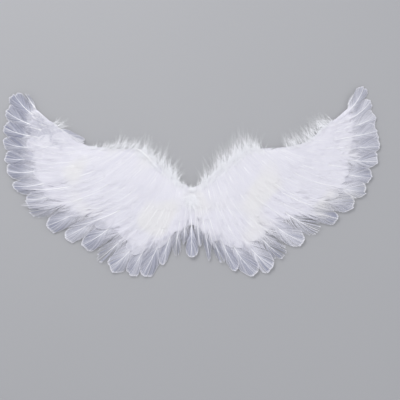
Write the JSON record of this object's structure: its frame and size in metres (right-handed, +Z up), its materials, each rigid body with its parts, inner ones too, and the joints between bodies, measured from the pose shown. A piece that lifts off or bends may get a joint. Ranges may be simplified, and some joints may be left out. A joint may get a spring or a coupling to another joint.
{
  "type": "feather costume angel wings",
  "caption": "Pair of white feather wings for a costume: long feathers, shingled short feathers and down trim on one backing board, with elastic shoulder bands behind.",
  "frame": {"origin": "middle of the underside of the wings as they lie feathers up", "axes": "+Z up out of the feathered face, +X from the left wing's tips to the right wing's tips as seen from above, +Y towards the upper tips"},
  "size_m": [0.6008, 0.2992, 0.0131],
  "materials": {
    "backing_board": "matt white felt board",
    "elastic_band": "woven white elastic",
    "long_feather": "soft matt white feather",
    "covert_feather": "soft matt white feather",
    "down": "fluffy white down"
  },
  "bodies": {
    "root": {"backing_board": "backing_board", "shoulder_band_left": "elastic_band", "shoulder_band_right": "elastic_band", "feather_left_01": "long_feather", "feather_left_02": "long_feather", "feather_left_03": "long_feather", "feather_left_04": "long_feather", "feather_left_05": "long_feather", "feather_left_06": "long_feather", "feather_left_07": "long_feather", "feather_left_08": "long_feather", "feather_left_09": "long_feather", "feather_left_10": "long_feather", "feather_left_11": "long_feather", "feather_left_12": "long_feather", "feather_left_13": "long_feather", "feather_left_14": "long_feather", "feather_left_15": "long_feather", "feather_left_16": "long_feather", "feather_left_17": "long_feather", "feather_left_18": "long_feather", "feather_left_19": "long_feather", "feather_left_20": "long_feather", "feather_right_01": "long_feather", "feather_right_02": "long_feather", "feather_right_03": "long_feather", "feather_right_04": "long_feather", "feather_right_05": "long_feather", "feather_right_06": "long_feather", "feather_right_07": "long_feather", "feather_right_08": "long_feather", "feather_right_09": "long_feather", "feather_right_10": "long_feather", "feather_right_11": "long_feather", "feather_right_12": "long_feather", "feather_right_13": "long_feather", "feather_right_14": "long_feather", "feather_right_15": "long_feather", "feather_right_16": "long_feather", "feather_right_17": "long_feather", "feather_right_18": "long_feather", "feather_right_19": "long_feather", "feather_right_20": "long_feather", "feather_centre": "long_feather", "coverts_outer_left": "covert_feather", "coverts_middle_left": "covert_feather", "coverts_inner_left": "covert_feather", "coverts_outer_right": "covert_feather", "coverts_middle_right": "covert_feather", "coverts_inner_right": "covert_feather", "down_left_inner": "down", "down_left_outer": "down", "down_right_inner": "down", "down_right_outer": "down", "down_tuft": "down"}
  },
  "joints": []
}
